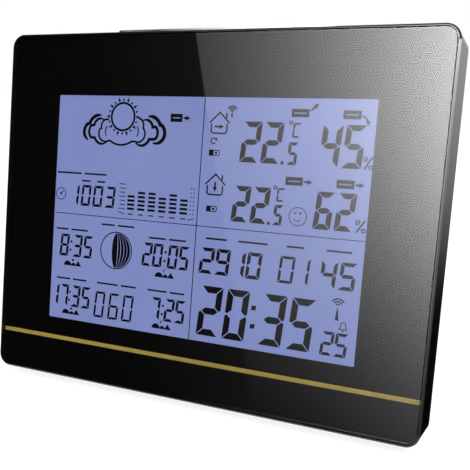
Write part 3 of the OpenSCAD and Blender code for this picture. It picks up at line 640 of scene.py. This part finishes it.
def draw_indoor():
    art = Art("display_indoor")
    house(art, 72.6, 58.5, True)
    battery_icon(art, 73.7, 52.0)
    art.figures((("2", 84.6), ("2", 92.7)), 49.0, 6.9, 13.9, 2.0)
    art.box(100.1, 48.9, 101.2, 50.0)
    art.digit("5", 102.1, 49.0, 3.6, 7.7, 1.15)
    degrees(art, 102.3, 58.0, 5.1)
    inverted_box(art, 106.2, 64.4, 113.1, 67.5)
    art.arrow(113.6, 65.9, 116.9, 65.9)
    inverted_box(art, 126.1, 64.4, 132.8, 67.5)
    art.arrow(133.3, 65.9, 136.6, 65.9)
    art.ring(112.2, 52.9, 3.45, 0.28, 36)
    art.disc(111.1, 54.2, 0.4, 12)
    art.disc(113.2, 54.2, 0.4, 12)
    art.stroke(arc(112.2, 52.9, 1.7, 215, 325, 8), 0.28)
    art.figures((("6", 118.2), ("2", 126.4)), 48.9, 6.8, 13.9, 2.05)
    percent(art, 134.7, 48.9, 3.6, 4.6)
    return art.finish()


def draw_calendar():
    art = Art("display_calendar")
    for x0, x1 in ((74.5, 83.8), (88.8, 101.1), (108.8, 115.8), (124.6, 134.3)):
        art.label(x0, 40.3, x1, 42.5)
    art.figures((("2", 72.2), ("9", 79.1), ("1", 85.6), ("0", 92.5), ("4", 122.6), ("5", 129.9)),
                27.4, 6.1, 10.3, 1.4)
    art.figures((("0", 106.0), ("1", 112.0)), 27.4, 6.1, 10.3, 1.05)
    return art.finish()


def draw_clock():
    art = Art("display_clock")
    art.figures((("2", 72.9), ("0", 84.4), ("3", 99.9), ("5", 111.5)), 2.5, 9.5, 20.0, 2.65)
    for z in (8.2, 15.4):
        art.prism([(96.2, z), (98.1, z), (98.4, z + 1.8), (96.5, z + 1.8)])
    art.figures((("2", 125.1), ("5", 130.4)), 2.5, 4.8, 9.0, 1.15)
    return art.finish()


def draw_signals():
    art = Art("display_signals")
    art.prism([(130.0, 16.1), (131.4, 16.1), (130.85, 20.6), (130.55, 20.6)])
    for r in (1.0, 1.95, 2.9):
        art.stroke(arc(130.7, 21.2, r, 38, 142, 10), 0.5)
    bell = [(131.9, 13.1), (132.4, 13.6), *arc(133.4, 14.6, 1.0, 180, 0, 8), (134.4, 13.6), (134.9, 13.1)]
    art.stroke(bell, 0.3)
    art.stroke([(131.8, 13.0), (135.0, 13.0)], 0.3)
    art.box(133.0, 12.2, 133.8, 12.7)
    return art.finish()


DISPLAY_ART = (draw_dividers(), draw_forecast(), draw_pressure(), draw_history(), draw_sun_times(),
               draw_moon_times(), draw_moon(), draw_place(), draw_outdoor(), draw_indoor(), draw_calendar(),
               draw_clock(), draw_signals())

# ---------------------------------------------------------------- camera

AZIMUTH, ELEVATION, ROLL = math.radians(24.49), math.radians(14.83), math.radians(0.25)
CAMERA_AWAY = 0.28153  # metres from the point that it looks at
AIM_RIGHT, AIM_DOWN = 0.01918, 0.0201  # metres from the middle of the front face to that point
camera_back = Vector((math.sin(AZIMUTH) * math.cos(ELEVATION), -math.cos(AZIMUTH) * math.cos(ELEVATION),
                      math.sin(ELEVATION)))
level_right = Vector((math.cos(AZIMUTH), math.sin(AZIMUTH), 0))
level_up = camera_back.cross(level_right)
camera_right = level_right * math.cos(ROLL) + level_up * math.sin(ROLL)
camera_up = camera_back.cross(camera_right)
front_centre = row(0, 0, CASE_H / 2)
aim = front_centre + level_right * AIM_RIGHT - level_up * AIM_DOWN
camera_data = bpy.data.cameras.new("camera")
camera_data.lens = 54.6
camera_data.shift_x = -0.0144
camera_data.shift_y = 0.0769
camera_data.clip_start = 0.01
camera = bpy.data.objects.new("camera", camera_data)
camera.matrix_world = Matrix.Translation(aim + camera_back * CAMERA_AWAY) @ Matrix(
    (camera_right, camera_up, camera_back)).transposed().to_4x4()
scene.collection.objects.link(camera)
scene.camera = camera
bpy.context.view_layer.update()

# ---------------------------------------------------------------- floor, cards and light

LIGHTS_AIM = Vector((0, 0, 0.07))  # the point that the lamps face
SOFTBOX_AWAY, FLAG_AWAY = 0.55, 0.56  # metres from the lens to the sheets that it mirrors
LENS_MIRRORS = 0.04  # the share of light that the lens mirrors
LENS_RIGHT, LENS_TOP = 112, 78  # mm from the lens's middle, past its edges
ABOVE_LENS_GLOW = 1.7  # the softbox's limit past the lens's top, where the snooze bar mirrors it


def stage_sheet(name, grid, material, only_mirrored=True):
    """A sheet of quads. only_mirrored keeps it to what glossy surfaces see."""
    mesh = bpy.data.meshes.new(name)
    rows, columns = len(grid), len(grid[0])
    faces = [(r * columns + c, r * columns + c + 1, (r + 1) * columns + c + 1, (r + 1) * columns + c)
             for r in range(rows - 1) for c in range(columns - 1)]
    mesh.from_pydata([tuple(p) for line in grid for p in line], [], faces)
    obj = bpy.data.objects.new(name, mesh)
    mesh.materials.append(material)
    scene.collection.objects.link(obj)
    if only_mirrored:
        obj.visible_camera = obj.visible_diffuse = obj.visible_transmission = False
        obj.visible_shadow = obj.visible_volume_scatter = False
    return obj


def glow_material(name):
    """Light as strong as each corner of the sheet says."""
    m, n = new_material(name)
    a = n.add("ShaderNodeAttribute", attribute_name="glow")
    e = n.add("ShaderNodeEmission")
    n.put(e, "Color", (1, 1, 1, 1))
    n.link(a.outputs["Fac"], e.inputs["Strength"])
    n.out(e.outputs["Emission"])
    return m


def card(name, grid, values):
    """A glowing sheet with one value of glow for each point of its grid."""
    obj = stage_sheet(name, grid, glow_material(name))
    layer = obj.data.attributes.new("glow", "FLOAT", "POINT")
    layer.data.foreach_set("value", values)


camera_place = camera.matrix_world.translation
mirrored = camera_place - 2 * (camera_place - front_centre).dot(LENS_FRONT) * LENS_FRONT
card_way = (front_centre - mirrored).normalized()


def card_point(x, z, distance):
    """Where the camera sees, mirrored in the lens at x, z of its middle, a sheet that far away."""
    start = row(x, 0, z + CASE_H / 2)
    way = (start - mirrored).normalized()
    return start + way * ((front_centre + card_way * distance - start).dot(card_way) / way.dot(card_way))


def lens_light(x, z):
    """How bright the softbox shows on the lens: more to the right and upwards."""
    return 0.72 * math.exp(0.0275 * (x - 90)) / (1 + math.exp(-(z - 15) / 28))


def softbox_edge(z):
    """Where the softbox's edge shows on the lens, at this height."""
    return 13.3 - 0.248 * z


def softbox():
    """The light sheet whose edge runs down the lens."""
    rows_z = [-90 + 8 * i for i in range(25)]
    grid, values = [], []
    for z in rows_z:
        edge = softbox_edge(z)
        line = [edge + (175 - edge) * (k / 24) ** 1.2 for k in range(25)]
        grid.append([card_point(x, z, SOFTBOX_AWAY) for x in line])
        most = ABOVE_LENS_GLOW if z > LENS_TOP else math.inf
        values += [min(lens_light(min(x, LENS_RIGHT), z) / LENS_MIRRORS, most) for x in line]
    card("card_softbox", grid, values)


def flag():
    """The dark sheet that keeps the rest of the lens black, with a faint glow along the softbox's edge."""
    grid, values = [], []
    for z in [-230 + 53 * i for i in range(11)]:
        line = [-240 + 12.5 * i for i in range(41)]
        grid.append([card_point(x, z, FLAG_AWAY) for x in line])
        values += [0.02 + 0.15 * math.exp(-abs(x - softbox_edge(z)) / 22) for x in line]
    card("card_flag", grid, values)


def side_card():
    """The sheet behind and to the right that the side wall mirrors: bright above, dark below."""
    grid, values = [], []
    for i in range(31):
        z = -260 + 20 * i
        grid.append([row(x, 360, z) for x in (96, 150, 330)])
        rise = 12 * math.log(1 + math.exp((z - 32) / 12))
        values += [1.3 * (1 - math.exp(-0.0034 * rise))] * 3
    card("card_side", grid, values)


def right_card():
    """The light to the right that the rim's bevel mirrors: strong above, weak below."""
    grid, values = [], []
    for i in range(19):
        z = -450 + 50 * i
        grid.append([row(1100, y, z) for y in (-330, -150, 30)])
        values += [1.9 * math.exp(0.0055 * z)] * 3
    card("card_right", grid, values)


def top_card():
    """The grey sheet overhead that the snooze bar's bevel mirrors: dark to the left, light to the right."""
    grid, values = [], []
    for i in range(23):
        x = -1000 + 50 * i
        grid.append([row(x, y, 900) for y in (520, 200, -60)])
        values += [0.04 + 0.48 / (1 + math.exp(-(x + 450) / 25))] * 3
    card("card_top", grid, values)


softbox()
flag()
side_card()
right_card()
top_card()


def floor():
    """The desk: white where the camera sees it, with the object's shadow, and plain for all other light."""
    m, n = new_material("floor")
    path = n.add("ShaderNodeLightPath")
    plain = n.add("ShaderNodeBsdfDiffuse")
    n.put(plain, "Color", (0.8, 0.8, 0.8, 1))
    soft = n.add("ShaderNodeBsdfDiffuse")
    n.put(soft, "Color", (0.3, 0.3, 0.3, 1))
    white = n.add("ShaderNodeEmission")
    n.put(white, "Strength", 0.86)
    both = n.add("ShaderNodeAddShader")
    n.link(soft.outputs["BSDF"], both.inputs[0])
    n.link(white.outputs["Emission"], both.inputs[1])
    mix = n.add("ShaderNodeMixShader")
    n.link(path.outputs["Is Camera Ray"], mix.inputs[0])
    n.link(plain.outputs["BSDF"], mix.inputs[1])
    n.link(both.outputs["Shader"], mix.inputs[2])
    n.out(mix.outputs["Shader"])
    obj = stage_sheet("floor", [[Vector((x, y, 0)) for x in (-8, 8)] for y in (-8, 8)], m, False)
    obj.visible_glossy = False


def world():
    """White for the camera and for mirrored or passing rays, and half as strong as a light."""
    w = bpy.data.worlds.new("studio")
    scene.world = w
    w.use_nodes = True
    n = Nodes(w.node_tree)
    path = n.add("ShaderNodeLightPath")
    seen = n.add("ShaderNodeMath", operation="MAXIMUM")
    n.link(path.outputs["Is Camera Ray"], seen.inputs[0])
    n.link(path.outputs["Is Glossy Ray"], seen.inputs[1])
    also = n.add("ShaderNodeMath", operation="MAXIMUM")
    n.link(seen.outputs["Value"], also.inputs[0])
    n.link(path.outputs["Is Transmission Ray"], also.inputs[1])
    strength = n.spread(also.outputs["Value"], 0.5, 1.0, 0.0, 1.0)
    background = n.add("ShaderNodeBackground")
    n.put(background, "Color", (1, 1, 1, 1))
    n.link(strength, background.inputs["Strength"])
    o = n.add("ShaderNodeOutputWorld")
    n.link(background.outputs["Background"], o.inputs["Surface"])


def area_light(name, place, size, watts):
    data = bpy.data.lights.new(name, "AREA")
    data.shape = "DISK"
    data.size = size
    data.energy = watts
    data.color = (1.0, 0.985, 0.96)
    obj = bpy.data.objects.new(name, data)
    obj.location = place
    obj.rotation_mode = "QUATERNION"
    obj.rotation_quaternion = (LIGHTS_AIM - Vector(place)).to_track_quat("-Z", "Y")
    obj.visible_glossy = False
    scene.collection.objects.link(obj)


floor()
world()
area_light("key_light", (0.9, -0.9, 1.2), 0.9, 16)
area_light("fill_light", (-1.2, -0.6, 0.9), 1.2, 7)
area_light("back_light", (0.1, 1.3, 1.1), 1.0, 10)

scene.view_settings.view_transform = "Standard"
